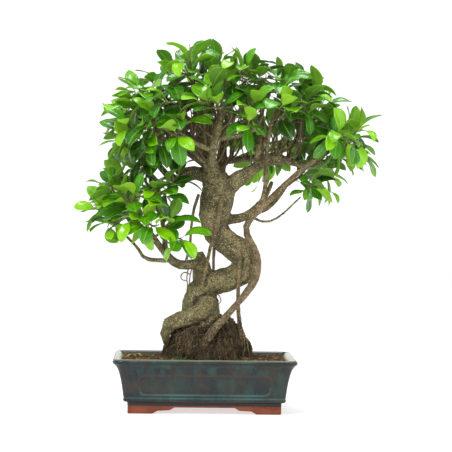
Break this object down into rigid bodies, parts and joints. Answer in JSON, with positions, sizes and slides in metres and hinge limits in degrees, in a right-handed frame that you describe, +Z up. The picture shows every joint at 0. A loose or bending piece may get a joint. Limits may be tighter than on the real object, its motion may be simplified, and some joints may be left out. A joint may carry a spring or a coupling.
{
  "type": "bonsai tree in a pot",
  "caption": "Fig bonsai with an S-curved trunk, aerial roots and a leafy crown, growing in a shallow rectangular glazed pot with bracket feet.",
  "frame": {"origin": "under the middle of the whole object's box, on the surface that the pot's feet stand on; the pot's own centre is 32 mm to -X and 8 mm to -Y of it", "axes": "+Z up; the pot's long front and the tree's show side face -Y; +X to the right seen from the front"},
  "size_m": [0.4814, 0.3156, 0.5882],
  "materials": {
    "pot_glaze": "glossy dark teal glaze that breaks brown on edges, cream inside the rim, bare terracotta feet",
    "screen": "black plastic mesh",
    "soil": "loose dark brown substrate of bark, grit and fine roots",
    "root_mound": "matted fine roots and earth",
    "bark": "rough olive-brown bark with pale specks",
    "aerial_root": "finer grey-brown bark with pale specks",
    "leaf": "glossy waxy leaves, paler and matt below, on brown twigs",
    "fallen_leaf": "dry yellow leaf",
    "weed": "small green weed and moss"
  },
  "bodies": {
    "root": {"back_limb": "bark", "crown_limb": "bark", "drain_screen_left": "screen", "drain_screen_right": "screen", "fallen_leaf_1": "fallen_leaf", "fallen_leaf_2": "fallen_leaf", "front_limb": "bark", "front_root": "aerial_root", "gap_root": "aerial_root", "leafy_shoot_1": "leaf", "leafy_shoot_10": "leaf", "leafy_shoot_11": "leaf", "leafy_shoot_12": "leaf", "leafy_shoot_13": "leaf", "leafy_shoot_14": "leaf", "leafy_shoot_15": "leaf", "leafy_shoot_16": "leaf", "leafy_shoot_17": "leaf", "leafy_shoot_18": "leaf", "leafy_shoot_19": "leaf", "leafy_shoot_2": "leaf", "leafy_shoot_20": "leaf", "leafy_shoot_21": "leaf", "leafy_shoot_22": "leaf", "leafy_shoot_23": "leaf", "leafy_shoot_24": "leaf", "leafy_shoot_25": "leaf", "leafy_shoot_26": "leaf", "leafy_shoot_27": "leaf", "leafy_shoot_28": "leaf", "leafy_shoot_29": "leaf", "leafy_shoot_3": "leaf", "leafy_shoot_30": "leaf", "leafy_shoot_31": "leaf", "leafy_shoot_32": "leaf", "leafy_shoot_33": "leaf", "leafy_shoot_34": "leaf", "leafy_shoot_35": "leaf", "leafy_shoot_36": "leaf", "leafy_shoot_37": "leaf", "leafy_shoot_38": "leaf", "leafy_shoot_4": "leaf", "leafy_shoot_5": "leaf", "leafy_shoot_6": "leaf", "leafy_shoot_7": "leaf", "leafy_shoot_8": "leaf", "leafy_shoot_9": "leaf", "left_long_branch": "bark", "left_root": "aerial_root", "left_stub_limb": "bark", "low_left_branch": "bark", "low_right_branch": "bark", "pot": "pot_glaze", "right_aerial_root": "aerial_root", "right_limb": "bark", "root_mound": "root_mound", "soil": "soil", "thin_right_root": "aerial_root", "trunk": "bark", "weed_sprig": "weed"}
  },
  "joints": []
}
